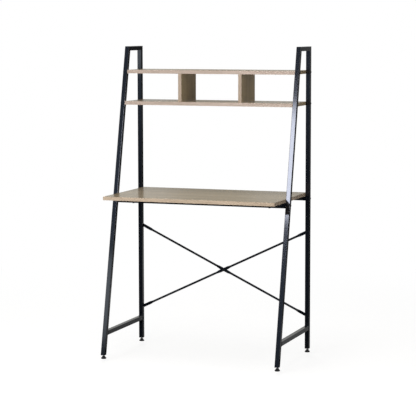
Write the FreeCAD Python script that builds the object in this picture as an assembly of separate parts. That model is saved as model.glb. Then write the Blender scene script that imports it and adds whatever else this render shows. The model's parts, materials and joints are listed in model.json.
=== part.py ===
import FreeCAD, Part
import math
import os

from FreeCAD import Rotation, Vector

# Ladder desk: two side frames of square steel tube, each with an upright rear leg
# and a leaning front leg, carry a desk board and two shelves with dividers. A pair
# of crossed rods braces the rear legs, and each leg stands on a levelling foot.
#
# Millimetres. +X is the user's right, +Y the back, +Z up. The origin is on the
# floor, under the middle of the whole desk.

# Overall sizes
overall_width = 842.0
overall_height = 1400.0
top_depth = 166.0        # side frame at the top, front face to rear face
base_depth = 480.0       # the same at floor level

# Frame tube: legs and top tubes
tube = 20.0
tube_wall = 1.2
tube_corner = 1.6        # outside corner radius

# Lower side rails
low_rail = 20.0
low_rail_wall = 1.2
low_rail_corner = 1.6
low_rail_height = 114.0  # centre above the floor

# Boards
board = 16.0             # thickness of the desk board, shelves and dividers
band = 1.0               # thickness of an edge band
band_round = 0.6         # radius along a band's two outer edges
desk_top = 737.0
desk_depth = 480.0
shelf_drop = 107.0       # from the top of the frame to the upper shelf's top
bay_height = 126.0       # clear height between the shelves
divider_spacing = 288.0  # centre to centre

# Desk rails
rail_depth = 20.0
front_rail_height = 25.0
rear_rail_height = 20.0
rail_wall = 1.2
rail_corner = 1.6
rail_plug_length = 16.0

# Machine screws and bolts, M6 with a button head
bolt_r = 3.0
bolt_head_r = 5.25
bolt_head_height = 3.0
bolt_head_rim = 0.6      # height of the straight rim under the dome
bolt_head_flat_r = 2.9   # flat top around the socket
bolt_head_bulge = 0.4    # of the dome, beyond a straight cone
bolt_chamfer = 0.6
socket_across_flats = 4.0
socket_depth = 1.8
hole_clearance = 0.2     # radial, plain holes
thread_gap = 0.05        # radial, threaded holes, pilot holes and dowel holes
shelf_bolt_engaged = 11.0
rail_bolt_engaged = 13.0

# Threaded inserts in the shelf ends
insert_r = 4.5
insert_length = 13.0

# Screws that hold the desk board
desk_screw_r = 2.0
desk_screw_head_r = 5.5
desk_screw_head_height = 2.4
desk_screw_rim = 0.8
desk_screw_crown_r = 3.8
desk_screw_point = 4.0   # length of the tapered tip
desk_screw_depth = 10.0  # length inside the board
desk_screw_spacing = 648.0
recess_width = 1.2
recess_length = 4.4
recess_depth = 1.3

# Dowels that locate the dividers
dowel_r = 3.0
dowel_length = 30.0
dowel_in_shelf = 10.0
dowel_inset = 35.0       # from the divider's front and back edges
dowel_chamfer = 1.0
dowel_end_room = 0.5     # left at each end of a dowel

# Cross brace
brace_rod_r = 5.0
brace_plate_width = 14.0
brace_plate = 2.4        # thickness where the rod is flattened
brace_end_flat = 48.0    # from the bolt to where the flat ends
brace_middle_flat = 46.0
brace_taper = 12.0       # from flat to round
brace_high = 559.0       # bolts above the floor
brace_low = 165.0
brace_bolt_engaged = 9.0
rivet_nut_r = 4.4
rivet_nut_length = 12.0
rivet_flange_r = 5.6
rivet_flange = 0.5       # thickness
nut_across_flats = 10.0
nut_height = 5.0
thread_past_nut = 1.0

# Levelling feet and the inserts that they screw into
foot_height = 17.0       # from the floor to the underside of the leg insert
leg_flange = 2.0         # insert's flange, under the tube's end
leg_insert_length = 16.0  # inside the tube
leg_insert_fit = 0.1     # each side
pad_r = 12.0
pad_chamfer = 0.8
pad_edge = 6.0
pad_cone_top = 9.0
pad_cone_r = 8.0
hex_across_flats = 13.0
hex_top = 12.0
stud_r = 3.0
stud_clearance = 0.08    # radial, in the leg insert
stud_seat = 3.0          # lower end of the stud, inside the pad
stud_chamfer = 0.6

# Worked out from the sizes above
leg_x = (overall_width - tube) / 2
inside_x = overall_width / 2 - tube
slope = (base_depth - top_depth) / overall_height
lean = math.atan(slope)
leaning_depth = tube / math.cos(lean)
leg_end = foot_height + leg_flange
brace_mid_offset = rivet_flange + brace_plate / 2
back_reach = brace_mid_offset + brace_plate + nut_height + thread_past_nut
back = (desk_depth - back_reach) / 2
brace_mid_y = back + brace_mid_offset
desk_under = desk_top - board
upper_shelf_top = overall_height - shelf_drop
upper_shelf_under = upper_shelf_top - board
lower_shelf_top = upper_shelf_under - bay_height
front_rail_z = desk_under - front_rail_height / 2
rear_rail_z = desk_under - rear_rail_height / 2

ORIGIN = Vector(0, 0, 0)
X_AXIS = Vector(1, 0, 0)
Y_AXIS = Vector(0, 1, 0)
Z_AXIS = Vector(0, 0, 1)
SIDES = {"left": -1, "right": 1}
ROWS = ("front", "rear")


def frame_front(z):
    """Y of the front legs' front face at a height."""
    return back - base_depth + slope * z


def leg_y(row, z):
    """Y of a leg's centre line at a height."""
    if row == "front":
        return frame_front(z) + leaning_depth / 2
    return back - tube / 2


def leg_lean(row):
    return lean if row == "front" else 0.0


# Shapes that many pieces use

def box(low, high):
    return Part.makeBox(high[0] - low[0], high[1] - low[1], high[2] - low[2], Vector(*low))


def edges_along(solid, direction):
    return [e for e in solid.Edges if abs(e.tangentAt(e.FirstParameter).dot(direction)) > 0.9]


def bar(width, depth, length, corner=0.0):
    """Bar along +Z from z = 0, centred on Z, with its long edges rounded."""
    solid = box((-width / 2, -depth / 2, 0), (width / 2, depth / 2, length))
    if corner == 0:
        return solid
    return solid.makeFillet(corner, edges_along(solid, Z_AXIS))


def hollow_bar(width, depth, length, corner, wall):
    return bar(width, depth, length, corner).cut(bar(width - 2 * wall, depth - 2 * wall, length))


def aimed(solid, direction, place):
    """Turns a solid's +Z to a direction and moves its origin to a place."""
    copy = solid.copy()
    copy.Placement = FreeCAD.Placement(place, Rotation(Z_AXIS, direction))
    return copy


def round_bar(radius, start, end):
    along = end - start
    return Part.makeCylinder(radius, along.Length, start, along)


def hexagon(across_flats, low, high):
    """Hexagonal prism along Z."""
    corner = across_flats / math.sqrt(3)
    turns = [math.radians(60 * i) for i in range(7)]
    points = [Vector(corner * math.cos(a), corner * math.sin(a), low) for a in turns]
    return Part.Face(Part.makePolygon(points)).extrude(Vector(0, 0, high - low))


def turned(profile):
    """Solid of revolution about Z from (radius, height) points, axis to axis."""
    points = [Vector(r, 0, z) for r, z in profile]
    face = Part.Face(Part.makePolygon(points + points[:1]))
    return face.revolve(ORIGIN, Z_AXIS, 360)


def beyond(start, end):
    """Everything to the left of a line that is drawn in the YZ plane."""
    reach = 2 * overall_height
    first = Vector(-reach, *start)
    along = (Vector(-reach, *end) - first).normalize() * reach
    left = Vector(0, -along.z, along.y)
    corners = [first - along, first + along, first + along + left, first - along + left]
    face = Part.Face(Part.makePolygon(corners + corners[:1]))
    return face.extrude(Vector(2 * reach, 0, 0))


# Bolts and screws, each with its seat at z = 0, its head above and its shank below

def socket_bolt(length):
    start = Vector(bolt_head_r, 0, bolt_head_rim)
    end = Vector(bolt_head_flat_r, 0, bolt_head_height)
    middle = (start + end) / 2 + Vector(bolt_head_bulge, 0, bolt_head_bulge)
    edges = [
        Part.makeLine(Vector(0, 0, 0), Vector(bolt_head_r, 0, 0)),
        Part.makeLine(Vector(bolt_head_r, 0, 0), start),
        Part.Arc(start, middle, end).toShape(),
        Part.makeLine(end, Vector(0, 0, bolt_head_height)),
        Part.makeLine(Vector(0, 0, bolt_head_height), Vector(0, 0, 0)),
    ]
    head = Part.Face(Part.Wire(edges)).revolve(ORIGIN, Z_AXIS, 360)
    socket = hexagon(socket_across_flats, bolt_head_height - socket_depth, 2 * bolt_head_height)
    tip_r = bolt_r - bolt_chamfer
    shank = turned([
        (0, -length), (tip_r, -length), (bolt_r, bolt_chamfer - length), (bolt_r, 0), (0, 0),
    ])
    return head.fuse(shank).cut(socket).removeSplitter()


def pan_screw(length):
    head = turned([
        (0, 0), (desk_screw_head_r, 0), (desk_screw_head_r, desk_screw_rim),
        (desk_screw_crown_r, desk_screw_head_height), (0, desk_screw_head_height),
    ])
    taper = desk_screw_point - length
    shank = turned([(0, -length), (desk_screw_r, taper), (desk_screw_r, 0), (0, 0)])
    floor = desk_screw_head_height - recess_depth
    half = recess_length / 2
    slot = box((-half, -recess_width / 2, floor), (half, recess_width / 2, 2 * desk_screw_head_height))
    cross = slot.copy()
    cross.rotate(ORIGIN, Z_AXIS, 90)
    return head.fuse(shank).cut([slot, cross]).removeSplitter()


# Side frames

def leg_bar(side, row, size, corner, low, high):
    """Square bar on a leg's centre line, cut level at both ends."""
    tilt = leg_lean(row)
    spare = 2 * tube
    solid = bar(size, size, (high - low) / math.cos(tilt) + 2 * spare, corner)
    solid.rotate(ORIGIN, X_AXIS, -math.degrees(tilt))
    start = low - spare * math.cos(tilt)
    solid.translate(Vector(side * leg_x, leg_y(row, start), start))
    return solid.cut([beyond((1, low), (0, low)), beyond((0, high), (1, high))])


def front_mitre():
    """Inner and outer corner of the joint of front leg and top tube, as (y, z)."""
    low = overall_height - tube
    return (frame_front(low) + leaning_depth, low), (frame_front(overall_height), overall_height)


def rear_mitre():
    return (back - tube, overall_height - tube), (back, overall_height)


def side_bolt_places(row):
    """Where bolts cross the legs of one row, as (y, z)."""
    rail_z = front_rail_z if row == "front" else rear_rail_z
    heights = (upper_shelf_top - board / 2, lower_shelf_top - board / 2, rail_z)
    return [(leg_y(row, z), z) for z in heights]


def across_leg(side, radius, y, z):
    """Round bar along X through a whole leg."""
    reach = tube
    centre = Vector(side * leg_x, y, z)
    return round_bar(radius, centre - X_AXIS * reach, centre + X_AXIS * reach)


def leg(side, row):
    above = overall_height + tube
    inside = tube - 2 * tube_wall
    solid = leg_bar(side, row, tube, tube_corner, leg_end, above)
    solid = solid.cut(leg_bar(side, row, inside, 0, leg_end - tube, above + tube))
    if row == "front":
        inner, outer = front_mitre()
        solid = solid.cut(beyond(outer, inner))
    else:
        inner, outer = rear_mitre()
        solid = solid.cut(beyond(inner, outer))
    hole_r = bolt_r + hole_clearance
    solid = solid.cut([across_leg(side, hole_r, y, z) for y, z in side_bolt_places(row)])
    if row == "rear":
        nut_hole_r = rivet_nut_r + thread_gap
        for z in (brace_high, brace_low):
            wall_point = Vector(side * leg_x, back - tube / 2, z)
            solid = solid.cut(round_bar(nut_hole_r, wall_point, wall_point + Y_AXIS * tube))
    return solid


def top_tube(side):
    front = frame_front(overall_height) - tube
    solid = hollow_bar(tube, tube, back + tube - front, tube_corner, tube_wall)
    solid = aimed(solid, Y_AXIS, Vector(side * leg_x, front, overall_height - tube / 2))
    inner, outer = front_mitre()
    solid = solid.cut(beyond(inner, outer))
    inner, outer = rear_mitre()
    return solid.cut(beyond(outer, inner))


def lower_rail(side):
    rear_end = back - tube
    front = frame_front(0)
    solid = hollow_bar(low_rail, low_rail, rear_end - front, low_rail_corner, low_rail_wall)
    solid = aimed(solid, Y_AXIS, Vector(side * leg_x, front, low_rail_height))
    low = (frame_front(0) + leaning_depth, 0)
    high = (frame_front(overall_height) + leaning_depth, overall_height)
    return solid.cut(beyond(low, high))


# Levelling feet

def foot_axis(side, row):
    """Point on the floor under a foot's stud, which crosses the middle of its insert."""
    middle = foot_height + (leg_flange + leg_insert_length) / 2
    return Vector(side * leg_x, leg_y(row, middle), 0)


def leg_insert(side, row):
    top = leg_end + leg_insert_length
    inside = tube - 2 * (tube_wall + leg_insert_fit)
    flange = leg_bar(side, row, tube, tube_corner, foot_height, leg_end)
    plug = leg_bar(side, row, inside, 0, leg_end, top)
    below = foot_axis(side, row)
    thread = round_bar(stud_r + stud_clearance, below, below + Z_AXIS * 2 * top)
    return flange.fuse(plug).cut(thread).removeSplitter()


def foot_pad(side, row):
    disc = turned([
        (0, 0), (pad_r - pad_chamfer, 0), (pad_r, pad_chamfer), (pad_r, pad_edge),
        (pad_cone_r, pad_cone_top), (0, pad_cone_top),
    ])
    boss = hexagon(hex_across_flats, pad_edge, hex_top)
    socket = round_bar(stud_r + thread_gap, Z_AXIS * stud_seat, Z_AXIS * 2 * hex_top)
    pad = disc.fuse(boss).cut(socket).removeSplitter()
    pad.translate(foot_axis(side, row))
    return pad


def foot_stud(side, row):
    top = leg_end + leg_insert_length
    stud = turned([
        (0, stud_seat), (stud_r, stud_seat), (stud_r, top - stud_chamfer),
        (stud_r - stud_chamfer, top), (0, top),
    ])
    stud.translate(foot_axis(side, row))
    return stud


# Boards and their edge bands

def edge_band(low, high, along):
    """Strip on a board's edge, rounded along its two outer edges."""
    solid = box(low, high)
    outer = [e for e in edges_along(solid, along) if e.CenterOfMass.y < low[1] + band / 2]
    return solid.makeFillet(band_round, outer)


def side_band(side):
    """Strip on one side of the desk board, rounded along its two outer edges."""
    outer_x = side * inside_x
    inner_x = side * (inside_x - band)
    front = back - desk_depth + band
    low = (min(outer_x, inner_x), front, desk_under)
    high = (max(outer_x, inner_x), back, desk_top)
    solid = box(low, high)
    near = band / 2
    outer = [e for e in edges_along(solid, Y_AXIS) if abs(e.CenterOfMass.x - outer_x) < near]
    return solid.makeFillet(band_round, outer)


def desk_screw_places():
    """Where screws enter the desk board, as (x, rail name)."""
    half = desk_screw_spacing / 2
    return [(x, row) for row in ROWS for x in (-half, half)]


def rail_centre(row):
    """Y and Z of a desk rail's centre line."""
    z = front_rail_z if row == "front" else rear_rail_z
    return leg_y(row, z), z


def desk_board():
    front = back - desk_depth + band
    side = inside_x - band
    solid = box((-side, front, desk_under), (side, back, desk_top))
    pilots = []
    for x, row in desk_screw_places():
        start = Vector(x, rail_centre(row)[0], desk_under)
        depth = desk_screw_depth + thread_gap
        pilots.append(round_bar(desk_screw_r + thread_gap, start, start + Z_AXIS * depth))
    return solid.cut(pilots)


def desk_front_band():
    front = back - desk_depth
    return edge_band((-inside_x, front, desk_under), (inside_x, front + band, desk_top), X_AXIS)


def shelf_end_bores(top):
    """Bores for the threaded inserts in both ends of a shelf."""
    z = top - board / 2
    bores = []
    for side in SIDES.values():
        for row in ROWS:
            mouth = Vector(side * inside_x, leg_y(row, z), z)
            bottom = mouth - X_AXIS * side * insert_length
            bores.append(round_bar(insert_r + thread_gap, bottom, mouth))
    return bores


def dowel_ys():
    return frame_front(upper_shelf_top) + dowel_inset, back - dowel_inset


def divider_xs():
    return -divider_spacing / 2, divider_spacing / 2


def dowel_joints():
    """Each dowel's place, as (x, y, seam height, +1 if the shelf is above)."""
    seams = ((lower_shelf_top, -1), (upper_shelf_under, 1))
    return [(x, y, z, up) for x in divider_xs() for y in dowel_ys() for z, up in seams]


def dowel_hole(x, y, z, up):
    shelf_end = Vector(x, y, z + up * (dowel_in_shelf + dowel_end_room))
    divider_end = Vector(x, y, z - up * (dowel_length - dowel_in_shelf + dowel_end_room))
    return round_bar(dowel_r + thread_gap, shelf_end, divider_end)


def dowel(x, y, z, up):
    thin_r = dowel_r - dowel_chamfer
    solid = turned([
        (0, 0), (thin_r, 0), (dowel_r, dowel_chamfer), (dowel_r, dowel_length - dowel_chamfer),
        (thin_r, dowel_length), (0, dowel_length),
    ])
    return aimed(solid, Z_AXIS * -up, Vector(x, y, z + up * dowel_in_shelf))


def shelf(top):
    solid = box((-inside_x, frame_front(top) + band, top - board), (inside_x, back, top))
    return solid.cut(shelf_end_bores(top) + [dowel_hole(*joint) for joint in dowel_joints()])


def shelf_band(top):
    front = frame_front(top)
    return edge_band((-inside_x, front, top - board), (inside_x, front + band, top), X_AXIS)


def divider(x):
    front = frame_front(upper_shelf_top) + band
    half = board / 2
    solid = box((x - half, front, lower_shelf_top), (x + half, back, upper_shelf_under))
    return solid.cut([dowel_hole(*joint) for joint in dowel_joints()])


def divider_band(x):
    front = frame_front(upper_shelf_top)
    low = (x - board / 2, front, lower_shelf_top)
    high = (x + board / 2, front + band, upper_shelf_under)
    return edge_band(low, high, Z_AXIS)


# Desk rails

def desk_rail(row, height):
    y, z = rail_centre(row)
    solid = hollow_bar(height, rail_depth, 2 * inside_x, rail_corner, rail_wall)
    solid = aimed(solid, X_AXIS, Vector(-inside_x, y, z))
    hole_r = desk_screw_r + hole_clearance
    holes = []
    for x, screw_row in desk_screw_places():
        centre = Vector(x, y, z)
        if screw_row == row:
            holes.append(round_bar(hole_r, centre - Z_AXIS * height, centre + Z_AXIS * height))
    return solid.cut(holes)


def rail_plug(side, row, height):
    y, z = rail_centre(row)
    gap = rail_wall + thread_gap
    solid = bar(height - 2 * gap, rail_depth - 2 * gap, rail_plug_length)
    solid = aimed(solid, X_AXIS, Vector(min(-side, 0) * rail_plug_length, 0, 0))
    solid.translate(Vector(side * inside_x, y, z))
    mouth = Vector(side * inside_x, y, z)
    through = X_AXIS * side * rail_plug_length
    thread = round_bar(bolt_r + thread_gap, mouth - through, mouth)
    return solid.cut(thread)


def desk_screw(x, row):
    height = front_rail_height if row == "front" else rear_rail_height
    y, z = rail_centre(row)
    screw = pan_screw(height + desk_screw_depth)
    return aimed(screw, -Z_AXIS, Vector(x, y, z - height / 2))


# Bolts through the legs and the inserts that they reach

def side_bolt(side, row, z, engaged):
    seat = Vector(side * overall_width / 2, leg_y(row, z), z)
    return aimed(socket_bolt(tube + engaged), X_AXIS * side, seat)


def shelf_insert(side, row, z):
    mouth = Vector(side * inside_x, leg_y(row, z), z)
    bottom = mouth - X_AXIS * side * insert_length
    return round_bar(insert_r, bottom, mouth).cut(round_bar(bolt_r + thread_gap, bottom, mouth))


def on_every_leg(make):
    return [make(side, row) for side in SIDES.values() for row in ROWS]


def shelf_bolts(top):
    z = top - board / 2
    return on_every_leg(lambda side, row: side_bolt(side, row, z, shelf_bolt_engaged))


def shelf_inserts(top):
    z = top - board / 2
    return on_every_leg(lambda side, row: shelf_insert(side, row, z))


def rail_bolts():
    return on_every_leg(lambda side, row: side_bolt(side, row, rail_centre(row)[1], rail_bolt_engaged))


def rail_plugs():
    heights = {"front": front_rail_height, "rear": rear_rail_height}
    return on_every_leg(lambda side, row: rail_plug(side, row, heights[row]))


# Cross brace. A rod is drawn along X with its middle at the origin.

def round_section(x):
    """Circle across X as four arcs, which start at the corners of a square."""
    near = brace_rod_r * math.sqrt(0.5)
    corners = [(near, -near), (near, near), (-near, near), (-near, -near)]
    tops = [(brace_rod_r, 0), (0, brace_rod_r), (-brace_rod_r, 0), (0, -brace_rod_r)]
    arcs = []
    for i, top in enumerate(tops):
        ends = (corners[i], corners[(i + 1) % 4])
        arcs.append(Part.Arc(Vector(x, *ends[0]), Vector(x, *top), Vector(x, *ends[1])).toShape())
    return Part.Wire(arcs)


def flat_section(x, shift):
    """Flattened rod across X: two straight sides and two round edges."""
    half = brace_plate / 2
    reach = brace_plate_width / 2
    straight = reach - half
    a = Vector(x, shift + half, -straight)
    b = Vector(x, shift + half, straight)
    c = Vector(x, shift - half, straight)
    d = Vector(x, shift - half, -straight)
    return Part.Wire([
        Part.makeLine(a, b),
        Part.Arc(b, Vector(x, shift, reach), c).toShape(),
        Part.makeLine(c, d),
        Part.Arc(d, Vector(x, shift, -reach), a).toShape(),
    ])


def brace_rod(shift, direction):
    """Rod from bolt to bolt. Its middle flat is shifted to lie against the other rod."""
    rise = (brace_high - brace_low) / 2
    half = math.hypot(leg_x, rise)
    tip = half + brace_plate_width / 2
    flat_end = half - brace_end_flat
    middle = brace_middle_flat / 2
    half_stations = [(middle, True), (middle + brace_taper, False),
                     (flat_end - brace_taper, False), (flat_end, True), (tip, True)]
    stations = [(-x, flat) for x, flat in reversed(half_stations)] + half_stations
    sections = []
    for x, flat in stations:
        offset = shift if abs(x) <= middle else 0
        sections.append(flat_section(x, offset) if flat else round_section(x))
    rod = Part.makeLoft(sections, True, True)
    ends = [Vector(x, -tube, 0) for x in (-half, half)]
    outline = box((-half, -tube, -tube), (half, tube, tube))
    outline = outline.fuse([Part.makeCylinder(brace_plate_width / 2, 2 * tube, p, Y_AXIS) for p in ends])
    rod = rod.common(outline)
    hole_r = bolt_r + hole_clearance
    for x in (-half, 0, half):
        rod = rod.cut(Part.makeCylinder(hole_r, 2 * tube, Vector(x, -tube, 0), Y_AXIS))
    rod.rotate(ORIGIN, Y_AXIS, direction * math.degrees(math.atan2(rise, leg_x)))
    rod.translate(Vector(0, brace_mid_y, (brace_high + brace_low) / 2))
    return rod


def brace_ends():
    return [Vector(x, back, z) for x in (-leg_x, leg_x) for z in (brace_high, brace_low)]


def brace_end_bolt(place):
    seat = rivet_flange + brace_plate
    return aimed(socket_bolt(seat + brace_bolt_engaged), Y_AXIS, place + Y_AXIS * seat)


def rivet_nut(place):
    flange_face = place + Y_AXIS * rivet_flange
    inner_end = place - Y_AXIS * rivet_nut_length
    flange = round_bar(rivet_flange_r, place, flange_face)
    body = round_bar(rivet_nut_r, inner_end, place)
    thread = round_bar(bolt_r + thread_gap, inner_end, flange_face)
    return flange.fuse(body).cut(thread).removeSplitter()


def brace_crossing(offset):
    return Vector(0, brace_mid_y + offset, (brace_high + brace_low) / 2)


def brace_middle_bolt():
    length = 2 * brace_plate + nut_height + thread_past_nut
    return aimed(socket_bolt(length), -Y_AXIS, brace_crossing(-brace_plate))


def brace_middle_nut():
    nut = hexagon(nut_across_flats, 0, nut_height)
    nut = nut.cut(round_bar(bolt_r + thread_gap, ORIGIN, Z_AXIS * nut_height))
    return aimed(nut, Y_AXIS, brace_crossing(brace_plate))


# Nodes, each a list of solids

def frame_nodes():
    nodes = {}
    for name, side in SIDES.items():
        nodes[name + "_top_tube"] = [top_tube(side)]
        nodes[name + "_lower_rail"] = [lower_rail(side)]
        for row in ROWS:
            place = name + "_" + row
            nodes[place + "_leg"] = [leg(side, row)]
            nodes[place + "_leg_insert"] = [leg_insert(side, row)]
            nodes[place + "_foot_pad"] = [foot_pad(side, row)]
            nodes[place + "_foot_stud"] = [foot_stud(side, row)]
    return nodes


def desk_nodes():
    return {
        "desk_board": [desk_board()],
        "desk_front_band": [desk_front_band()],
        "desk_side_bands": [side_band(side) for side in SIDES.values()],
        "front_desk_rail": [desk_rail("front", front_rail_height)],
        "rear_desk_rail": [desk_rail("rear", rear_rail_height)],
        "desk_rail_plugs": rail_plugs(),
        "desk_rail_bolts": rail_bolts(),
        "desk_board_screws": [desk_screw(x, row) for x, row in desk_screw_places()],
    }


def shelf_nodes():
    nodes = {}
    for name, top in (("upper_shelf", upper_shelf_top), ("lower_shelf", lower_shelf_top)):
        nodes[name] = [shelf(top)]
        nodes[name + "_band"] = [shelf_band(top)]
        nodes[name + "_bolts"] = shelf_bolts(top)
        nodes[name + "_inserts"] = shelf_inserts(top)
    left, right = divider_xs()
    nodes["left_divider"] = [divider(left)]
    nodes["right_divider"] = [divider(right)]
    nodes["divider_bands"] = [divider_band(x) for x in divider_xs()]
    nodes["divider_dowels"] = [dowel(*joint) for joint in dowel_joints()]
    return nodes


def brace_nodes():
    return {
        "brace_front_rod": [brace_rod(-brace_plate / 2, 1)],
        "brace_rear_rod": [brace_rod(brace_plate / 2, -1)],
        "brace_middle_bolt": [brace_middle_bolt()],
        "brace_middle_nut": [brace_middle_nut()],
        "brace_end_bolts": [brace_end_bolt(place) for place in brace_ends()],
        "brace_rivet_nuts": [rivet_nut(place) for place in brace_ends()],
    }


def write(nodes):
    os.makedirs("parts", exist_ok=True)
    for name, solids in nodes.items():
        shape = solids[0] if len(solids) == 1 else Part.makeCompound(solids)
        shape.exportStep("parts/" + name + ".step")


for group in (frame_nodes(), desk_nodes(), shelf_nodes(), brace_nodes()):
    write(group)
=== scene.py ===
import json
import math

import bmesh
import bpy
from mathutils import Euler, Matrix, Vector


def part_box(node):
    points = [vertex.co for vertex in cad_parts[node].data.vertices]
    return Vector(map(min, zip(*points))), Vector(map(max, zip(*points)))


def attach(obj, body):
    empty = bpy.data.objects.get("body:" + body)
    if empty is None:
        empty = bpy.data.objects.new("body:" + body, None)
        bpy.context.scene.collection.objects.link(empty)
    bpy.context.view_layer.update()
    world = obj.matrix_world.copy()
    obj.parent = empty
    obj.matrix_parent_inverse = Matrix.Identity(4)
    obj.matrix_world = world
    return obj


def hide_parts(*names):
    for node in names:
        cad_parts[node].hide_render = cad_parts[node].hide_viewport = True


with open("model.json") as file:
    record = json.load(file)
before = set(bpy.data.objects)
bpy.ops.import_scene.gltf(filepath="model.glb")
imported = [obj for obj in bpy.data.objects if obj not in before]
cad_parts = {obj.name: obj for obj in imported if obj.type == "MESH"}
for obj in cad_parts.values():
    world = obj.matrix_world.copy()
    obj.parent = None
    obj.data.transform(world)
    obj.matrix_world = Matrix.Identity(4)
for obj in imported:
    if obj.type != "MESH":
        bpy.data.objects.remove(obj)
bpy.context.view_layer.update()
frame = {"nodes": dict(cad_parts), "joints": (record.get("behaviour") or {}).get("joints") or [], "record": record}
nodes = frame["nodes"]

# Ladder desk: black coated steel frames, oak-print boards and a crossed rod brace.
# Metres, in the frame of the CAD model: +X to the user's right, +Y to the back, +Z up.

MM = 0.001

# Camera
CAMERA_PLACE = Vector((2.5904, -7.0911, 1.5072))
CAMERA_TURN = math.radians(20.010)     # left of +Y
CAMERA_DIP = math.radians(6.290)       # below the horizon
CAMERA_ROLL = math.radians(0.098)
CAMERA_SENSOR = 36.0
CAMERA_LENS = 145.55
CAMERA_CLIP = (0.1, 100.0)

# Pieces
SHARP_ANGLE = 38
STUD_RADIUS = 3.0 * MM
THREAD_PITCH = 1.0 * MM
THREAD_DEPTH = 0.55 * MM
THREAD_LEAD = 0.6 * MM       # chamfer at both ends
THREAD_ROWS = 6              # rings in one turn
THREAD_SEGMENTS = 20
PAD_SEGMENTS = 48
PAD_UNDERSIDE = (            # in from the pad's radius, and up from the floor
    (4.2 * MM, 0.7 * MM),
    (3.4 * MM, 0.0),
    (1.2 * MM, 0.0),
)
PAD_HOLLOW = (2.0 * MM, 0.9 * MM)    # radius and height of the hollow's middle
PAD_RIM = 6.0 * MM           # height of the round rim
PAD_RIM_LIFT = 0.1 * MM
RIM_ROUND = 1.8 * MM
RIM_STEPS = 6
PAD_LEDGE = 3.5 * MM         # in from the radius, on top of the rim
PAD_WAIST = 6.9 * MM
WAIST_FOOT = 1.2 * MM        # out from the waist, where it meets the ledge
NECK_HEIGHTS = (0.6 * MM, 1.6 * MM, 2.4 * MM, 3.0 * MM)  # above the rim, from ledge to hexagon
PAD_HEX = 6.5 * MM           # half of the width across flats
HEX_CHAMFER = (0.5 * MM, 0.6 * MM)   # across and along
BORE_ROOM = 0.1 * MM
BORE_CHAMFER = 0.6 * MM
BORE_DEPTH = 3.0 * MM        # as far as it is seen
ROD_RADIUS = 5.0 * MM
ROD_FLAT_HALF = 7.0 * MM     # half of the flattened width
ROD_PLATE = 2.4 * MM         # flattened thickness
ROD_MIDDLE_FLAT = 46 * MM
ROD_END_FLAT = 48 * MM       # from the bolt to where the flat ends
ROD_EASE = 20 * MM           # over which round turns flat
ROD_EASE_INSIDE = 4 * MM     # the part of it that lies in the flat
ROD_SHOULDER = 12 * MM       # from the bolt
ROD_TIP = 0.995              # how far the tip's rounding goes
ROD_TIP_THIN = (0.75, 0.2 * MM)      # the tip's half thickness, by its half width and added
ROD_SQUARE = 2.2             # how square a flat's edges are
ROD_STEPS = 8
ROD_LENGTHS = 6
ROD_TIP_STEPS = 6
ROD_SEGMENTS = 24
BRACE_Y = (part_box("brace_front_rod")[0].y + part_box("brace_rear_rod")[1].y) / 2
BEAD_RADIUS = 1.5 * MM
BEAD_RIPPLE = 0.12
BEAD_TURN = 1.9              # radians from one ripple point to the next
BEAD_SEGMENTS = 8
BEAD_CUTS = 13               # along each side of a rail
RAIL_CORNER = 1.6 * MM
RAIL_CORNER_STEPS = 4
ROUND_PROFILE = 0.5          # of a bevel that is a part of a circle
MERGE_DISTANCE = 0.001 * MM  # points nearer than this become one
CORNERS = ("left_front", "left_rear", "right_front", "right_rear")


def frame_slope():
    """How far back the front legs lean for each unit of height."""
    low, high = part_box("left_front_leg")
    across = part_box("left_top_tube")
    return (across[0].y - low.y) / (high.z - low.z)


FRAME_SLOPE = frame_slope()

# Oak print: noise frequencies along the grain and across it, per metre
OAK_BANDS = (0.9, 9.0, 9.0)
OAK_DRIFT = (1.6, 5.0, 5.0)
OAK_STREAKS = (7.0, 260.0, 260.0)
OAK_PORES = (38.0, 1500.0, 1500.0)
RINGS_ACROSS = 115.0         # radians per metre of width
RINGS_DOWN = 70.0
RINGS_DRIFT = 26.0           # radians by which the rings wander
RINGS_SHARP = 2.2
RINGS_SHARE = 0.34           # of the way from the light tone to the dark one
BANDS_SHARE = 0.38
STREAKS_SHARE = 0.30
PORES_SHARE = (0.25, 0.75)   # of the way to the pores' tone, in light and in dark wood
BANDS_BETWEEN = (0.32, 0.70) # values of the noise between which the tone changes
STREAKS_BETWEEN = (0.35, 0.68)
PORES_BETWEEN = (0.60, 0.72)
TONES_BETWEEN = (0.1, 0.8)
GLOSS_BETWEEN = (0.3, 0.7)
OAK_GLOSS = (0.18, 0.25)
OAK_BUMP = (0.01 * MM, 0.15)     # height and strength, as in the other finishes
BOARD_SHIFT = (0.37, 0.61, 0.23)     # from one board's print to the next's
END_GRAIN = 0.7              # cosine to the grain from which a face shows its end
CROSS_SKEW = 0.5             # gives upright boards a second direction across the grain

# Finishes
COAT_TEXTURE = (420.0, 0.02 * MM, 0.25)      # noise frequency, height and strength
HARDWARE_TEXTURE = (2200.0, 0.01 * MM, 0.3)
PLASTIC_TEXTURE = (1500.0, 0.04 * MM, 0.6)
PLASTIC_GLOSS = (0.45, 0.6)
PLASTIC_PALER = 1.5
COAT_WEAR = (0.8 * MM, 0.3, 2.5, 0.01)       # width, amount, and factor and lift of the colour
HARDWARE_WEAR = (0.5 * MM, 0.6, 1.5, 0.05)
WEAR_BEND = (0.02, 0.20)     # how far the normal bends over an edge
WEAR_BREAKS = 140.0          # frequency of the noise that interrupts it
WEAR_GAPS = (0.45, 0.62)
WEAR_SAMPLES = 4
GLOSS_PATCHES = 11.0         # frequency of the slow change of gloss

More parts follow.
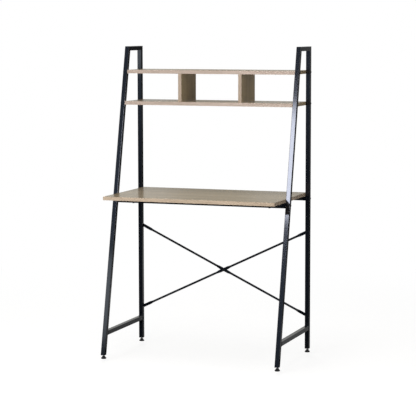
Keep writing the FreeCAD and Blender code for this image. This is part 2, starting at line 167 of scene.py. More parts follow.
# Studio
DESK_MIDDLE = Vector((0, 0, 0.7))    # at which the lights are aimed
LIGHTS = {
    # azimuth, elevation and distance, then width and height, power, colour, and the rays it serves
    "key": ((-4, 11, 4.5), (2.6, 1.4), 155, (1.0, 0.985, 0.965), "diffuse"),
    "strip": ((-8, 21.7, 5.4), (2.4, 0.84), 131, (0.81, 0.85, 1.0), "glossy"),
    "low_strip": ((-27, 8.4, 5.2), (1.4, 0.62), 4.6, (0.88, 0.95, 1.0), "glossy"),
    "side_fill": ((75, 14, 5.0), (1.6, 2.0), 32, (1, 0.95, 0.86), "diffuse and glossy"),
    "top_fill": ((-10, 78, 4.0), (2.6, 2.0), 55, (1, 0.98, 0.95), "diffuse"),
    "back_fill": ((205, 30, 5.0), (2.5, 2.0), 65, (1, 1, 1), "diffuse"),
}
TUBE_LIGHTS = ("strip", "low_strip")
FLOOR_SIZE = 30.0
FLOOR_COLOUR = (0.8, 0.8, 0.8, 1)
FLOOR_ROUGHNESS = 0.9
FLOOR_SEEN = 0.28        # near the desk, as the camera sees it, so that the shadow stays faint
FLOOR_GLOW = 0.83        # added to that, up to white
FLOOR_ROOM = 0.5 * MM    # under the feet when they are screwed right out
FLOOR_FADE = (1.2, 3.0)  # distances over which the glow alone becomes white
AMBIENT = 0.07           # the world's light on diffuse surfaces

# Studio's walls and floor as they are mirrored. Azimuths are those of the lights. Spreads are
# cosines to a side's middle, and bands are sines of the elevation: where they rise, and fall.
SHADE_LEVEL = 0.04       # of the unlit walls
WALL_LEVEL = 0.46        # added to that on the lit ones
FRONT_SHADE = -18        # azimuths of the unlit sides' middles
FRONT_SPREAD = (0.70, 0.93)
CORNER_SHADE = 150
CORNER_SPREAD = (0.955, 0.982)
CORNER_FALL = (-0.02, 0.05)  # over which this shade ends, at the horizon
UPPER_LEVEL = 0.25       # added on high, all round
UPPER_RISE = (0.16, 0.34)
LOW_LEVEL = 0.24         # added in front, where the lower legs mirror it
LOW_BAND = ((0.20, 0.25), (0.29, 0.38))
FAR_LEVEL = 0.38         # added in front at the horizon, where the upper rear legs mirror it
FAR_BAND = ((-0.11, -0.01), (0.03, 0.10))
FRONT_TINT = (0.72, 0.94, 1.33, 1)   # of all that lies in front
NEAR_LEVEL = 0.25        # the floor close behind the desk; close in front it is unlit
NEAR_FALL = (-0.70, -0.50)
BEHIND_SPREAD = (0.0, 0.5)
EYE_HEIGHT = 0.9         # from which the floor's directions are taken
SHEEN_SIDE = -160        # azimuth of the bright wall that the board tops mirror
SHEEN_SPREAD = (0.90, 0.97)
SHEEN_BAND = ((0.035, 0.075), (0.16, 0.20))
SHEEN_MIDDLE = (0.27, 0.255, 0.19, 1)    # its colour, darker along the middle
SHEEN_SIDES = (0.56, 0.56, 0.52, 1)
SHEEN_RISE = (0.012, 0.030)      # sines of the azimuth from its middle, towards greater azimuths
SHEEN_FALL = (-0.034, -0.020)    # and towards smaller ones
SHEEN_FALL_SHARE = 0.7


# --- Shader helpers ---

def feed(tree, made, inputs):
    """Fills a node's inputs, keyed by name or number: sockets are linked, and values are set."""
    for key, value in inputs.items():
        if isinstance(value, bpy.types.NodeSocket):
            tree.links.new(value, made.inputs[key])
        else:
            made.inputs[key].default_value = value


def node(tree, kind, inputs=None, **settings):
    made = tree.nodes.new("ShaderNode" + kind)
    for name, value in settings.items():
        setattr(made, name, value)
    feed(tree, made, inputs or {})
    return made


def calc(tree, operation, *values, clamp=False):
    return node(tree, "Math", dict(enumerate(values)), operation=operation, use_clamp=clamp).outputs[0]


def remap(tree, value, low, high, to_low=0.0, to_high=1.0):
    """Value from low..high to to_low..to_high, smoothly and clamped."""
    inputs = {"Value": value, "From Min": low, "From Max": high, "To Min": to_low, "To Max": to_high}
    return node(tree, "MapRange", inputs, interpolation_type="SMOOTHSTEP").outputs["Result"]


def blend_colour(tree, factor, first, second):
    return node(tree, "Mix", {0: factor, 6: first, 7: second}, data_type="RGBA").outputs[2]


def scaled(tree, vector, factors):
    return node(tree, "VectorMath", {0: vector, 1: factors}, operation="MULTIPLY").outputs[0]


def dot(tree, first, second):
    return node(tree, "VectorMath", {0: first, 1: second}, operation="DOT_PRODUCT").outputs["Value"]


def grey(tree, value):
    return node(tree, "CombineXYZ", {"X": value, "Y": value, "Z": value}).outputs[0]


def noise(tree, vector, scale, detail=2.0, roughness=0.5):
    inputs = {"Vector": vector, "Scale": scale, "Detail": detail, "Roughness": roughness}
    return node(tree, "TexNoise", inputs).outputs["Fac"]


def new_group(name, inputs, outputs):
    """Shader group with typed sockets. Returns it with its input and output nodes."""
    group = bpy.data.node_groups.new(name, "ShaderNodeTree")
    for label, kind in inputs:
        group.interface.new_socket(label, in_out="INPUT", socket_type="NodeSocket" + kind)
    for label, kind in outputs:
        group.interface.new_socket(label, in_out="OUTPUT", socket_type="NodeSocket" + kind)
    return group, group.nodes.new("NodeGroupInput"), group.nodes.new("NodeGroupOutput")


def use(tree, group, inputs):
    made = tree.nodes.new("ShaderNodeGroup")
    made.node_tree = group
    feed(tree, made, inputs)
    return made


def new_material(name):
    """Material with a Principled BSDF. Returns it, its tree and the shader."""
    material = bpy.data.materials.new(name)
    material.use_nodes = True
    tree = material.node_tree
    return material, tree, tree.nodes["Principled BSDF"]


def link(tree, source, shader, socket):
    tree.links.new(source, shader.inputs[socket])


def bump(tree, shader, height, distance, strength):
    made = node(tree, "Bump", {"Height": height, "Distance": distance, "Strength": strength})
    link(tree, made.outputs["Normal"], shader, "Normal")


# --- Shader groups ---

def make_oak_print():
    """Printed oak: bands, rings, streaks and pores that run along the vector's X."""
    group, inside, outside = new_group(
        "oak_print",
        [("Vector", "Vector"), ("Light", "Color"), ("Dark", "Color"), ("Pore", "Color")],
        [("Color", "Color"), ("Height", "Float"), ("Roughness", "Float")],
    )
    vector = inside.outputs["Vector"]
    bands = noise(group, scaled(group, vector, OAK_BANDS), 1.0, detail=3.0, roughness=0.55)
    drift = noise(group, scaled(group, vector, OAK_DRIFT), 1.0)
    across = node(group, "SeparateXYZ", {0: vector})
    rings_at = calc(group, "MULTIPLY", drift, RINGS_DRIFT)
    rings_at = calc(group, "MULTIPLY_ADD", across.outputs["Y"], RINGS_ACROSS, rings_at)
    rings_at = calc(group, "MULTIPLY_ADD", across.outputs["Z"], RINGS_DOWN, rings_at)
    rings = calc(group, "MULTIPLY_ADD", calc(group, "SINE", rings_at), 0.5, 0.5)
    rings = calc(group, "POWER", rings, RINGS_SHARP)
    streaks = noise(group, scaled(group, vector, OAK_STREAKS), 1.0, detail=3.0, roughness=0.6)
    pores = noise(group, scaled(group, vector, OAK_PORES), 1.0, detail=1.0)
    pores = remap(group, pores, *PORES_BETWEEN)
    tone = remap(group, bands, *BANDS_BETWEEN, 0.0, BANDS_SHARE)
    tone = calc(group, "MULTIPLY_ADD", rings, RINGS_SHARE, tone)
    darker = remap(group, streaks, *STREAKS_BETWEEN, 0.0, STREAKS_SHARE)
    tone = calc(group, "ADD", tone, darker, clamp=True)
    colour = blend_colour(group, tone, inside.outputs["Light"], inside.outputs["Dark"])
    pores_share = calc(group, "MULTIPLY", pores, remap(group, tone, *TONES_BETWEEN, *PORES_SHARE))
    colour = blend_colour(group, pores_share, colour, inside.outputs["Pore"])
    group.links.new(colour, outside.inputs["Color"])
    group.links.new(calc(group, "SUBTRACT", 1.0, pores), outside.inputs["Height"])
    group.links.new(remap(group, streaks, *GLOSS_BETWEEN, *OAK_GLOSS), outside.inputs["Roughness"])
    return group


def make_along_grain():
    """Object coordinates with the grain axis first, and turned on the faces that end the grain."""
    group, inside, outside = new_group(
        "along_grain",
        [("Axis", "Vector"), ("Shift", "Vector")],
        [("Vector", "Vector")],
    )
    place = node(group, "TexCoord").outputs["Object"]
    place = node(group, "VectorMath", {0: place, 1: inside.outputs["Shift"]}, operation="ADD").outputs[0]
    axis = inside.outputs["Axis"]
    along = dot(group, place, axis)
    taken = node(group, "VectorMath", {0: axis, "Scale": along}, operation="SCALE").outputs[0]
    rest = node(group, "VectorMath", {0: place, 1: taken}, operation="SUBTRACT").outputs[0]
    parts = node(group, "SeparateXYZ", {0: rest})
    first = calc(group, "ADD", parts.outputs["X"], parts.outputs["Y"])
    skew = calc(group, "MULTIPLY", parts.outputs["X"], CROSS_SKEW)
    second = calc(group, "SUBTRACT", parts.outputs["Z"], skew)
    facing = node(group, "NewGeometry").outputs["Normal"]
    ends = calc(group, "ABSOLUTE", dot(group, facing, axis))
    ends = calc(group, "GREATER_THAN", ends, END_GRAIN)
    side_way = node(group, "CombineXYZ", {"X": along, "Y": first, "Z": second}).outputs[0]
    end_way = node(group, "CombineXYZ", {"X": first, "Y": second, "Z": along}).outputs[0]
    mix = node(group, "Mix", {0: ends, 4: side_way, 5: end_way}, data_type="VECTOR")
    group.links.new(mix.outputs[1], outside.inputs["Vector"])
    return group


def make_edge_wear():
    """Mask of edges within a width, broken up by noise."""
    group, inside, outside = new_group(
        "edge_wear",
        [("Width", "Float"), ("Amount", "Float")],
        [("Mask", "Float")],
    )
    rounded = node(group, "Bevel", {"Radius": inside.outputs["Width"]}, samples=WEAR_SAMPLES)
    sharp = node(group, "NewGeometry").outputs["Normal"]
    match = dot(group, rounded.outputs["Normal"], sharp)
    edge = remap(group, calc(group, "SUBTRACT", 1.0, match), *WEAR_BEND)
    place = node(group, "TexCoord").outputs["Object"]
    broken = noise(group, place, WEAR_BREAKS, detail=3.0, roughness=0.6)
    broken = remap(group, broken, *WEAR_GAPS)
    mask = calc(group, "MULTIPLY", calc(group, "MULTIPLY", edge, broken), inside.outputs["Amount"])
    group.links.new(mask, outside.inputs["Mask"])
    return group


def make_fine_texture():
    """Height of a fine moulded or sprayed texture, and a slow variation of gloss."""
    group, inside, outside = new_group(
        "fine_texture",
        [("Scale", "Float"), ("Low", "Float"), ("High", "Float")],
        [("Height", "Float"), ("Roughness", "Float")],
    )
    place = node(group, "TexCoord").outputs["Object"]
    group.links.new(noise(group, place, inside.outputs["Scale"]), outside.inputs["Height"])
    slow = noise(group, place, GLOSS_PATCHES, detail=3.0)
    rough = remap(group, slow, *GLOSS_BETWEEN, inside.outputs["Low"], inside.outputs["High"])
    group.links.new(rough, outside.inputs["Roughness"])
    return group


OAK_PRINT = make_oak_print()
ALONG_GRAIN = make_along_grain()
EDGE_WEAR = make_edge_wear()
FINE_TEXTURE = make_fine_texture()


# --- Materials ---

def oak(name, axis, shift, light, dark, pore):
    """Satin laminate with an oak print along an axis."""
    material, tree, shader = new_material(name)
    way = use(tree, ALONG_GRAIN, {"Axis": axis, "Shift": shift})
    inputs = {"Vector": way.outputs["Vector"], "Light": light, "Dark": dark, "Pore": pore}
    oak_print = use(tree, OAK_PRINT, inputs)
    link(tree, oak_print.outputs["Color"], shader, "Base Color")
    link(tree, oak_print.outputs["Roughness"], shader, "Roughness")
    bump(tree, shader, oak_print.outputs["Height"], *OAK_BUMP)
    return material


def steel(name, colour, metallic, gloss, texture, wear):
    """Powder-coated, blackened or plated steel: a fine texture, and edges rubbed paler.

    Gloss is the least and the greatest roughness.
    """
    material, tree, shader = new_material(name)
    frequency, height, strength = texture
    width, amount, factor, lift = wear
    fine = use(tree, FINE_TEXTURE, {"Scale": frequency, "Low": gloss[0], "High": gloss[1]})
    rubbed = use(tree, EDGE_WEAR, {"Width": width, "Amount": amount})
    worn = tuple(min(1.0, factor * part + lift) for part in colour[:3]) + (1.0,)
    link(tree, blend_colour(tree, rubbed.outputs["Mask"], colour, worn), shader, "Base Color")
    link(tree, fine.outputs["Roughness"], shader, "Roughness")
    shader.inputs["Metallic"].default_value = metallic
    bump(tree, shader, fine.outputs["Height"], height, strength)
    return material


def moulded_plastic(name, colour):
    """Plastic with a fine grain, paler on top of it."""
    material, tree, shader = new_material(name)
    frequency, height, strength = PLASTIC_TEXTURE
    low, high = PLASTIC_GLOSS
    fine = use(tree, FINE_TEXTURE, {"Scale": frequency, "Low": low, "High": high})
    paler = tuple(PLASTIC_PALER * part for part in colour[:3]) + (1.0,)
    link(tree, blend_colour(tree, fine.outputs["Height"], colour, paler), shader, "Base Color")
    link(tree, fine.outputs["Roughness"], shader, "Roughness")
    bump(tree, shader, fine.outputs["Height"], height, strength)
    return material


# Light, dark and pore tone of each oak
BOARD_TONES = ((0.50, 0.40, 0.262, 1), (0.375, 0.29, 0.178, 1), (0.25, 0.185, 0.11, 1))
# The dividers carry the boards' print with less blue: painted warm shade, the brown of their shaded sides.
DIVIDER_TONES_PAINTED_WARM_SHADE = ((0.49, 0.395, 0.235, 1), (0.37, 0.286, 0.158, 1), (0.245, 0.182, 0.097, 1))
BAND_TONES = ((0.53, 0.425, 0.325, 1), (0.43, 0.34, 0.25, 1), (0.32, 0.24, 0.17, 1))
SHELF_BAND_TONES = ((0.53, 0.43, 0.37, 1), (0.43, 0.345, 0.285, 1), (0.32, 0.245, 0.195, 1))
DIVIDER_BAND_TONES = ((0.475, 0.38, 0.3, 1), (0.385, 0.3, 0.23, 1), (0.285, 0.212, 0.156, 1))
BEECH_TONES = ((0.62, 0.45, 0.28, 1), (0.5, 0.35, 0.2, 1), (0.4, 0.27, 0.15, 1))
ALONG_X = (1, 0, 0)
ALONG_Y = (0, 1, 0)
ALONG_Z = (0, 0, 1)
COAT = steel(
    "black_powder_coat", (0.005, 0.006, 0.0088, 1), metallic=0.0,
    gloss=(0.08, 0.11), texture=COAT_TEXTURE, wear=COAT_WEAR,
)
OXIDE = steel(
    "black_oxide", (0.035, 0.035, 0.037, 1), metallic=0.8,
    gloss=(0.35, 0.5), texture=HARDWARE_TEXTURE, wear=HARDWARE_WEAR,
)
ZINC = steel(
    "zinc_plate", (0.56, 0.57, 0.58, 1), metallic=1.0,
    gloss=(0.28, 0.42), texture=HARDWARE_TEXTURE, wear=HARDWARE_WEAR,
)
PLASTIC = moulded_plastic("black_moulding", (0.012, 0.012, 0.013, 1))
BEECH = oak("beech_dowel", ALONG_Z, (0, 0, 0), *BEECH_TONES)

GRAIN_OF = {
    "desk_board": (ALONG_X, BOARD_TONES),
    "upper_shelf": (ALONG_X, BOARD_TONES),
    "lower_shelf": (ALONG_X, BOARD_TONES),
    "left_divider": (ALONG_Z, DIVIDER_TONES_PAINTED_WARM_SHADE),
    "right_divider": (ALONG_Z, DIVIDER_TONES_PAINTED_WARM_SHADE),
    "desk_front_band": (ALONG_X, BAND_TONES),
    "desk_side_bands": (ALONG_Y, BAND_TONES),
    "upper_shelf_band": (ALONG_X, SHELF_BAND_TONES),
    "lower_shelf_band": (ALONG_X, SHELF_BAND_TONES),
    "divider_bands": (ALONG_Z, DIVIDER_BAND_TONES),
}
SLOT_MATERIALS = {
    "frame_coat": COAT,
    "black_plastic": PLASTIC,
    "black_hardware": OXIDE,
    "zinc_hardware": ZINC,
    "dowel_beech": BEECH,
}


def finish_with(obj, material):
    obj.data.materials.clear()
    obj.data.materials.append(material)


def dress_cad_nodes():
    slots = {entry["node"]: entry["material_slot"] for entry in frame["record"]["subparts"]}
    for number, (name, (axis, tones)) in enumerate(GRAIN_OF.items()):
        shift = tuple(number * part for part in BOARD_SHIFT)
        finish_with(nodes[name], oak("oak_" + name, axis, shift, *tones))
    for name, obj in nodes.items():
        if name not in GRAIN_OF:
            finish_with(obj, SLOT_MATERIALS[slots[name]])


# --- Pieces made here ---

def finished(name, bm, material, body, replaced=()):
    """Turns a bmesh into a piece that rides on a body."""
    bmesh.ops.remove_doubles(bm, verts=bm.verts, dist=MERGE_DISTANCE)
    bmesh.ops.recalc_face_normals(bm, faces=bm.faces)
    mesh = bpy.data.meshes.new(name)
    bm.to_mesh(mesh)
    bm.free()
    mesh.polygons.foreach_set("use_smooth", [True] * len(mesh.polygons))
    mesh.set_sharp_from_angle(angle=math.radians(SHARP_ANGLE))
    piece = bpy.data.objects.new(name, mesh)
    bpy.context.scene.collection.objects.link(piece)
    mesh.materials.append(material)
    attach(piece, body)
    if replaced:
        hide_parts(*replaced)
    return piece


def ring(bm, radius, matrix, segments, corners=None):
    """Round ring across the matrix's Z, or a polygon with as many points. Returns its edges."""
    made = bmesh.ops.create_circle(bm, radius=radius, segments=corners or segments, matrix=matrix)
    edges = list({edge for vert in made["verts"] for edge in vert.link_edges})
    if corners:
        cut = bmesh.ops.subdivide_edges(bm, edges=edges, cuts=segments // corners - 1)
        edges = [part for part in cut["geom_inner"] + cut["geom"] if isinstance(part, bmesh.types.BMEdge)]
    return list(set(edges))


def skin(bm, rings, closed_ends=True):
    """Joins rings that follow each other, and closes the first and the last."""
    for near, far in zip(rings, rings[1:]):
        bmesh.ops.bridge_loops(bm, edges=near + far)
    if closed_ends:
        for end in (rings[0], rings[-1]):
            bmesh.ops.contextual_create(bm, geom=end)


def foot_middle(corner):
    """Place on the floor under the middle of a foot."""
    low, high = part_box(corner + "_foot_pad")
    return Vector(((low.x + high.x) / 2, (low.y + high.y) / 2, low.z))


def make_foot_pad(corner):
    """Moulded foot: a dished underside, a round rim, a waist and a hexagon for the spanner."""
    low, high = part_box(corner + "_foot_pad")
    radius = (high.y - low.y) / 2
    top = high.z - low.z
    place = Matrix.Translation(foot_middle(corner))
    bm = bmesh.new()
    rings = []

    def add(r, z, corners=None):
        across = r / math.cos(math.pi / corners) if corners else r
        rings.append(ring(bm, across, place @ Matrix.Translation((0, 0, z)), PAD_SEGMENTS, corners))

    add(*PAD_HOLLOW)
    for inward, height in PAD_UNDERSIDE:
        add(radius - inward, height)
    for step in range(RIM_STEPS + 1):
        turn = math.pi * step / RIM_STEPS
        height = PAD_RIM / 2 - PAD_RIM / 2 * math.cos(turn) + PAD_RIM_LIFT
        add(radius - RIM_ROUND + RIM_ROUND * math.sin(turn), height)
    ledge, foot, waist, hexagon = (PAD_RIM + height for height in NECK_HEIGHTS)
    add(radius - PAD_LEDGE, ledge)
    add(PAD_WAIST + WAIST_FOOT, foot)
    add(PAD_WAIST, waist)
    add(PAD_HEX, hexagon, 6)
    add(PAD_HEX, top - HEX_CHAMFER[1], 6)
    add(PAD_HEX - HEX_CHAMFER[0], top, 6)
    bore = STUD_RADIUS + BORE_ROOM
    add(STUD_RADIUS + BORE_CHAMFER, top)
    add(bore, top - BORE_CHAMFER)
    add(bore, top - BORE_DEPTH)
    skin(bm, rings)
    return finished("moulded_pad_" + corner, bm, PLASTIC, corner + "_foot",
                    [corner + "_foot_pad"])


def make_foot_stud(corner):
    """Stud with a rolled thread."""
    low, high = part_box(corner + "_foot_stud")
    middle = foot_middle(corner)
    bm = bmesh.new()
    rows = round((high.z - low.z) / THREAD_PITCH * THREAD_ROWS)
    rings = []
    for row in range(rows + 1):
        z = low.z + (high.z - low.z) * row / rows
        place = Matrix.Translation((middle.x, middle.y, z))
        rings.append(ring(bm, STUD_RADIUS, place, THREAD_SEGMENTS))
    skin(bm, rings)
    for vert in bm.verts:
        across = Vector((vert.co.x - middle.x, vert.co.y - middle.y))
        turn = math.atan2(across.y, across.x) / math.tau
        phase = (vert.co.z / THREAD_PITCH - turn) % 1.0
        groove = THREAD_DEPTH * abs(2 * phase - 1)
        ends = min(vert.co.z - low.z, high.z - vert.co.z)
        lead = max(0.0, THREAD_LEAD - ends)
        across *= (STUD_RADIUS - groove - lead) / across.length
        vert.co.x = middle.x + across.x
        vert.co.y = middle.y + across.y
    # The stud is drawn dark, in the black oxide finish rather than zinc.
    return finished("threaded_stud_" + corner, bm, OXIDE, corner + "_foot",
                    [corner + "_foot_stud"])


def ease(value):
    value = min(1.0, max(0.0, value))
    return value * value * (3 - 2 * value)


def make_brace_rod(name, number, shift):
    """Round rod pressed flat at both ends and in the middle, where the shift moves it off its axis."""
    low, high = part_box(name)
    crossing = Vector(((low.x + high.x) / 2, BRACE_Y, (low.z + high.z) / 2))
    reach = (high.x - low.x) / 2 - ROD_FLAT_HALF
    rise = (high.z - low.z) / 2 - ROD_FLAT_HALF
    half = math.hypot(reach, rise)
    way = Matrix.Rotation(-number * math.atan2(rise, reach), 4, "Y")
    aim = Matrix.Translation(crossing) @ way @ Matrix.Rotation(math.pi / 2, 4, "Y")
    near = ROD_MIDDLE_FLAT / 2
    far = half - ROD_END_FLAT
    inner = near - ROD_EASE_INSIDE
    outer = far - ROD_EASE + ROD_EASE_INSIDE
    eased = [ROD_EASE * step / ROD_STEPS for step in range(ROD_STEPS + 1)]
    tip = [math.sin(step * math.pi / 2 / ROD_TIP_STEPS) for step in range(1, ROD_TIP_STEPS)] + [ROD_TIP]
    stations = [0.0] + [inner + part for part in eased]
    stations += [near + (far - near) * step / ROD_LENGTHS for step in range(1, ROD_LENGTHS)]
    stations += [outer + part for part in eased]
    stations += [half - ROD_SHOULDER, half] + [half + ROD_FLAT_HALF * part for part in tip]
    stations = sorted(set(stations))
    bm = bmesh.new()
    rings = []
    for along in [-x for x in reversed(stations[1:])] + stations:
        from_middle = abs(along)
        middle_flat = 1 - ease((from_middle - inner) / ROD_EASE)
        flat = middle_flat + ease((from_middle - outer) / ROD_EASE)
        aside = shift * middle_flat
        wide = ROD_RADIUS + (ROD_FLAT_HALF - ROD_RADIUS) * flat
        thick = ROD_RADIUS + (ROD_PLATE / 2 - ROD_RADIUS) * flat
        if from_middle > half:
            wide = math.sqrt(max(0.0, ROD_FLAT_HALF ** 2 - (from_middle - half) ** 2))
            thick = min(thick, ROD_TIP_THIN[0] * wide + ROD_TIP_THIN[1])
        square = 1 / (1 + ROD_SQUARE * flat)
        place = aim @ Matrix.Translation((0, aside, along))
        edges = ring(bm, 1.0, Matrix.Identity(4), ROD_SEGMENTS)
        for vert in {vert for edge in edges for vert in edge.verts}:
            x = math.copysign(abs(vert.co.x) ** square, vert.co.x) * wide
            y = math.copysign(abs(vert.co.y) ** square, vert.co.y) * thick
            vert.co = place @ Vector((x, y, 0))
        rings.append(edges)
    skin(bm, rings)
    return finished("pressed_" + name, bm, COAT, "desk_frame", [name])


def make_weld_beads():
    """Small fillet welds around the ends of the lower rails."""
    bm = bmesh.new()
    for side in ("left", "right"):
        low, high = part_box(side + "_lower_rail")
        middle = (low + high) / 2
        half = (high.z - low.z) / 2
        for y, slope in ((low.y + half * FRAME_SLOPE, FRAME_SLOPE), (high.y, 0.0)):
            path = bmesh.new()
            corners = bmesh.ops.create_circle(path, radius=half * math.sqrt(2), segments=4)["verts"]
            turn = Matrix.Rotation(math.pi / 4, 3, "Z")
            bmesh.ops.rotate(path, verts=corners, cent=(0, 0, 0), matrix=turn)
            bmesh.ops.bevel(path, geom=corners, affect="VERTICES", offset=RAIL_CORNER,
                            segments=RAIL_CORNER_STEPS, profile=ROUND_PROFILE, material=-1)
            sides = [edge for edge in path.edges if edge.calc_length() > half]
            bmesh.ops.subdivide_edges(path, edges=sides, cuts=BEAD_CUTS)
            points = [Vector((middle.x + x, y + z * slope, middle.z + z)) for x, z in loop_points(path)]
            path.free()
            rings = []
            for number, point in enumerate(points):
                tangent = points[(number + 1) % len(points)] - points[number - 1]
                radius = BEAD_RADIUS * (1 + BEAD_RIPPLE * math.sin(number * BEAD_TURN))
                aim = tangent.to_track_quat("Z", "Y").to_matrix().to_4x4()
                rings.append(ring(bm, radius, Matrix.Translation(point) @ aim, BEAD_SEGMENTS))
            skin(bm, rings + [rings[0]], closed_ends=False)
    return finished("lower_rail_weld_beads", bm, COAT, "desk_frame")


def loop_points(path):
    """Points of a bmesh's one closed loop of edges, in order."""
    path.verts.ensure_lookup_table()
    start = path.verts[0]
    points = [(start.co.x, start.co.y)]
    edge = start.link_edges[0]
    vert = edge.other_vert(start)
    while vert is not start:
        points.append((vert.co.x, vert.co.y))
        edge = next(other for other in vert.link_edges if other is not edge)
        vert = edge.other_vert(vert)
    return points


# --- Studio ---

def place_camera():
    data = bpy.data.cameras.new("camera")
    data.sensor_width = CAMERA_SENSOR
    data.lens = CAMERA_LENS
    data.clip_start, data.clip_end = CAMERA_CLIP
    camera = bpy.data.objects.new("camera", data)
    bpy.context.scene.collection.objects.link(camera)
    aim = Euler((math.pi / 2 - CAMERA_DIP, 0, CAMERA_TURN)).to_matrix().to_4x4()
    camera.matrix_world = Matrix.Translation(CAMERA_PLACE) @ aim @ Matrix.Rotation(-CAMERA_ROLL, 4, "Z")
    bpy.context.scene.camera = camera


def from_object(azimuth, elevation, distance):
    """Point at a distance from the desk's middle. Azimuth 0 is in front, and grows to the right."""
    a = math.radians(azimuth)
    e = math.radians(elevation)
    out = Vector((math.sin(a) * math.cos(e), -math.cos(a) * math.cos(e), math.sin(e)))
    return DESK_MIDDLE + out * distance


def panel_light(name, from_middle, size, power, colour, rays):
    """Rectangular light that faces the middle of the desk."""
    data = bpy.data.lights.new(name, "AREA")
    data.shape = "RECTANGLE"
    data.size, data.size_y = size
    data.energy = power
    data.color = colour
    light = bpy.data.objects.new(name, data)
    bpy.context.scene.collection.objects.link(light)
    place = from_object(*from_middle)
    aim = (place - DESK_MIDDLE).to_track_quat("Z", "Y")
    light.matrix_world = Matrix.Translation(place) @ aim.to_matrix().to_4x4()
    light.visible_camera = False
    light.visible_glossy = "glossy" in rays
    light.visible_diffuse = "diffuse" in rays
    return light


def light_path(tree, *rays):
    """1 on any of the named kinds of ray."""
    path = node(tree, "LightPath")
    total = path.outputs[rays[0]]
    for ray in rays[1:]:
        total = calc(tree, "MAXIMUM", total, path.outputs[ray])
    return total


def band(tree, value, rise, fall, level=1.0):
    """Rises to a level and falls again, as the value grows."""
    return calc(tree, "MULTIPLY", remap(tree, value, *rise), remap(tree, value, *fall, level, 0.0))


def make_studio_walls():
    """Studio's colour by direction: unlit in front and low at the back right, bright at the back left."""
    group, inside, outside = new_group("studio_walls", [("Vector", "Vector")], [("Color", "Color")])
    way = node(group, "VectorMath", {0: inside.outputs["Vector"]}, operation="NORMALIZE").outputs[0]
    height = node(group, "SeparateXYZ", {0: way}).outputs["Z"]
    level_way = scaled(group, way, (1, 1, 0))
    level_way = node(group, "VectorMath", {0: level_way}, operation="NORMALIZE").outputs[0]

    def toward(azimuth, spread, level=1.0):
        turn = math.radians(azimuth)
        along = dot(group, level_way, (math.sin(turn), -math.cos(turn), 0))
        return remap(group, along, *spread, 0.0, level)

    front = toward(FRONT_SHADE, FRONT_SPREAD)
    below = remap(group, height, *CORNER_FALL, 1.0, 0.0)
    corner = calc(group, "MULTIPLY", toward(CORNER_SHADE, CORNER_SPREAD), below)
    lit = calc(group, "SUBTRACT", 1.0, front)
    lit = calc(group, "MULTIPLY", lit, calc(group, "SUBTRACT", 1.0, corner))
    level = calc(group, "MULTIPLY_ADD", lit, WALL_LEVEL, SHADE_LEVEL)
    level = calc(group, "ADD", level, remap(group, height, *UPPER_RISE, 0.0, UPPER_LEVEL))
    low = band(group, height, *LOW_BAND, LOW_LEVEL)
    far = band(group, height, *FAR_BAND, FAR_LEVEL)
    level = calc(group, "ADD", level, calc(group, "MULTIPLY", front, calc(group, "ADD", low, far)))
    near = remap(group, height, *NEAR_FALL, 1.0, 0.0)
    level = calc(group, "MULTIPLY", level, calc(group, "SUBTRACT", 1.0, near))
    level = calc(group, "MULTIPLY_ADD", near, toward(180, BEHIND_SPREAD, NEAR_LEVEL), level)
    tint = blend_colour(group, front, (1, 1, 1, 1), FRONT_TINT)
    walls = node(group, "VectorMath", {0: tint, "Scale": level}, operation="SCALE").outputs[0]
    turn = math.radians(SHEEN_SIDE)
    aside = dot(group, level_way, (math.cos(turn), math.sin(turn), 0))
    greater = remap(group, aside, *SHEEN_RISE)
    smaller = remap(group, aside, *SHEEN_FALL, SHEEN_FALL_SHARE, 0.0)
    sheen = blend_colour(group, calc(group, "MAXIMUM", greater, smaller), SHEEN_MIDDLE, SHEEN_SIDES)
    share = calc(group, "MULTIPLY", toward(SHEEN_SIDE, SHEEN_SPREAD), band(group, height, *SHEEN_BAND))
    group.links.new(blend_colour(group, share, walls, sheen), outside.inputs["Color"])
    return group


def make_world(walls):
    """White where it is seen, and the studio's walls where it is mirrored."""
    world = bpy.data.worlds.new("studio")
    bpy.context.scene.world = world
    world.use_nodes = True
    tree = world.node_tree
    way = node(tree, "TexCoord").outputs["Generated"]
    seen = use(tree, walls, {"Vector": way}).outputs["Color"]
    ambient = (AMBIENT, AMBIENT, AMBIENT, 1)
    colour = blend_colour(tree, light_path(tree, "Is Glossy Ray", "Is Transmission Ray"), ambient, seen)
    colour = blend_colour(tree, light_path(tree, "Is Camera Ray"), colour, (1, 1, 1, 1))
    tree.links.new(colour, tree.nodes["Background"].inputs["Color"])


def floor_level():
    """Low enough for the feet at the end of their travel."""
    return -max(joint["range_m"][1] for joint in frame["joints"]) - FLOOR_ROOM


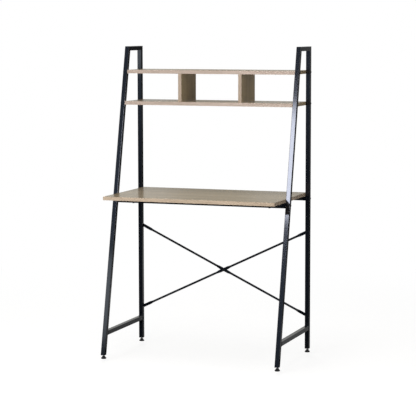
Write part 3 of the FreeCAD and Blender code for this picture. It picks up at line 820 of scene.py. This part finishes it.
def make_floor(walls):
    """White floor that keeps the desk's shadow."""
    mesh = bpy.data.meshes.new("floor")
    bm = bmesh.new()
    level = Matrix.Translation((0, 0, floor_level()))
    bmesh.ops.create_grid(bm, x_segments=1, y_segments=1, size=FLOOR_SIZE, matrix=level)
    bm.to_mesh(mesh)
    bm.free()
    floor = bpy.data.objects.new("floor", mesh)
    bpy.context.scene.collection.objects.link(floor)
    material, tree, shader = new_material("floor_white")
    shader.inputs["Roughness"].default_value = FLOOR_ROUGHNESS
    shader.inputs["Specular IOR Level"].default_value = 0.0
    place = node(tree, "TexCoord").outputs["Object"]
    away = node(tree, "VectorMath", {0: place}, operation="LENGTH").outputs["Value"]
    mirrored = light_path(tree, "Is Glossy Ray", "Is Transmission Ray")
    camera = light_path(tree, "Is Camera Ray")
    fading = grey(tree, remap(tree, away, *FLOOR_FADE, FLOOR_SEEN, 0.0))
    colour = blend_colour(tree, camera, FLOOR_COLOUR, fading)
    link(tree, blend_colour(tree, mirrored, colour, (0, 0, 0, 1)), shader, "Base Color")
    glow = grey(tree, calc(tree, "MULTIPLY", camera, remap(tree, away, *FLOOR_FADE, FLOOR_GLOW, 1.0)))
    from_eye = node(tree, "VectorMath", {0: place, 1: (0, 0, -EYE_HEIGHT)}, operation="ADD").outputs[0]
    colour = blend_colour(tree, mirrored, glow, use(tree, walls, {"Vector": from_eye}).outputs["Color"])
    link(tree, colour, shader, "Emission Color")
    shader.inputs["Emission Strength"].default_value = 1.0
    mesh.materials.append(material)


def coated_tubes():
    """Collection of the coated CAD nodes. The tubes among them show, and they alone mirror the strips."""
    tubes = bpy.data.collections.new("coated_tubes")
    for piece in nodes.values():
        if COAT in piece.data.materials[:]:
            tubes.objects.link(piece)
    return tubes


def light_studio():
    walls = make_studio_walls()
    make_world(walls)
    make_floor(walls)
    tubes = coated_tubes()
    for name, settings in LIGHTS.items():
        light = panel_light(name, *settings)
        if name in TUBE_LIGHTS:
            light.light_linking.receiver_collection = tubes
    bpy.context.scene.view_settings.view_transform = "Standard"


dress_cad_nodes()
for corner in CORNERS:
    make_foot_pad(corner)
    make_foot_stud(corner)
make_brace_rod("brace_front_rod", -1, -ROD_PLATE / 2)
make_brace_rod("brace_rear_rod", 1, ROD_PLATE / 2)
make_weld_beads()
place_camera()
light_studio()
